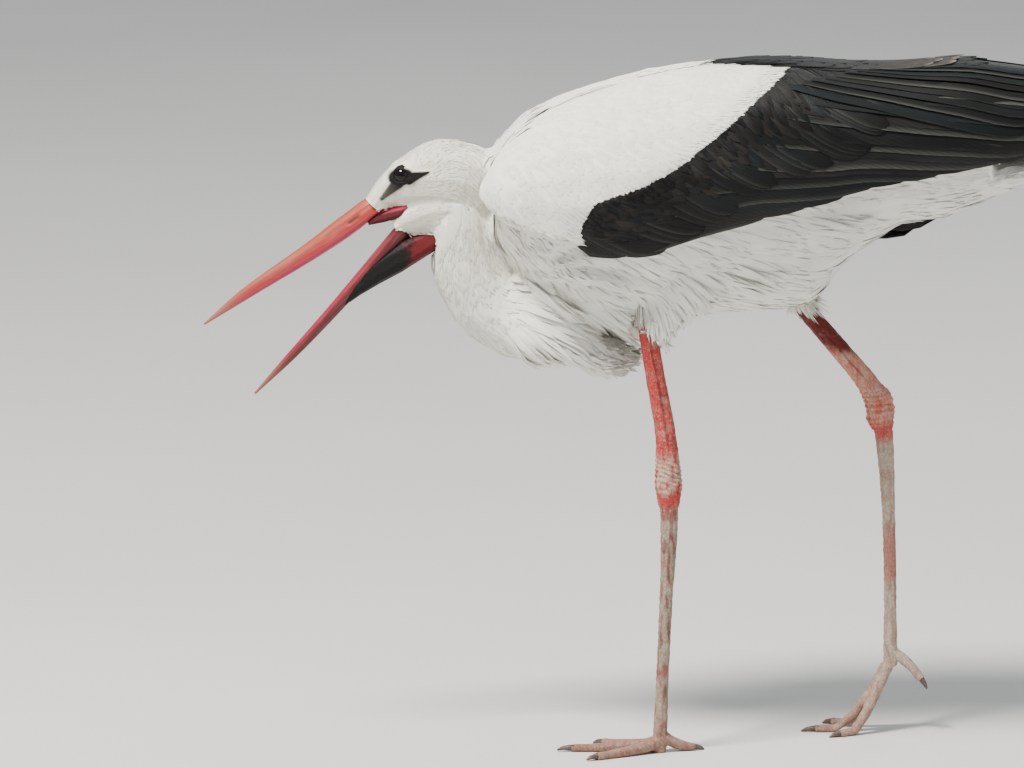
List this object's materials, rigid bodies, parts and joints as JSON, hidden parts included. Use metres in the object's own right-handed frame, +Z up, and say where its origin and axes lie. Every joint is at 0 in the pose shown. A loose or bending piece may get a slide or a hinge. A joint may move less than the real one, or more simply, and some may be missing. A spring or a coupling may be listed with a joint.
{
  "type": "white stork",
  "caption": "Life-size still model of a white stork stalking with its head low, bill open and one foot rolling off its toes",
  "frame": {"origin": "On the floor, under the middle of the bird's bounding box.", "axes": "+Z up; the bill points to -X and the folded wing tips to +X; the bird's left side faces -Y."},
  "size_m": [0.816, 0.1976, 0.5493],
  "materials": {
    "white_feather": "soft off-white feather, slightly cream on the neck and shaded grey below",
    "black_feather": "brown-black flight feather with a faint gloss and worn, paler edges",
    "bill": "horn, orange-red at the base, pink along the side, duller at the tip",
    "throat_skin": "bare wrinkled black skin, red at its rear edge",
    "mouth": "moist dark-red skin in the corner of the gape",
    "eye": "wet, dark brown",
    "leg": "scaly orange-red skin, whitened by droppings and mud on the lower leg",
    "claw": "dull brown horn"
  },
  "bodies": {
    "root": {"head": "white_feather", "neck": "white_feather", "breast_plumes": "white_feather", "trunk": "white_feather", "tail": "white_feather", "bill_upper": "bill", "bill_lower": "bill", "throat_skin": "throat_skin", "gape": "mouth", "eye_left": "eye", "wing_coverts_left": "white_feather", "wing_greater_coverts_left": "black_feather", "wing_secondaries_left": "black_feather", "wing_primaries_left": "black_feather", "thigh_left": "white_feather", "tibia_left": "leg", "tarsus_left": "leg", "toe2_left": "leg", "toe3_left": "leg", "toe4_left": "leg", "hallux_left": "leg", "claw_toe2_left": "claw", "claw_toe3_left": "claw", "claw_toe4_left": "claw", "claw_hallux_left": "claw", "eye_right": "eye", "wing_coverts_right": "white_feather", "wing_greater_coverts_right": "black_feather", "wing_secondaries_right": "black_feather", "wing_primaries_right": "black_feather", "thigh_right": "white_feather", "tibia_right": "leg", "tarsus_right": "leg", "toe2_right": "leg", "toe3_right": "leg", "toe4_right": "leg", "hallux_right": "leg", "claw_toe2_right": "claw", "claw_toe3_right": "claw", "claw_toe4_right": "claw", "claw_hallux_right": "claw"}
  },
  "joints": []
}
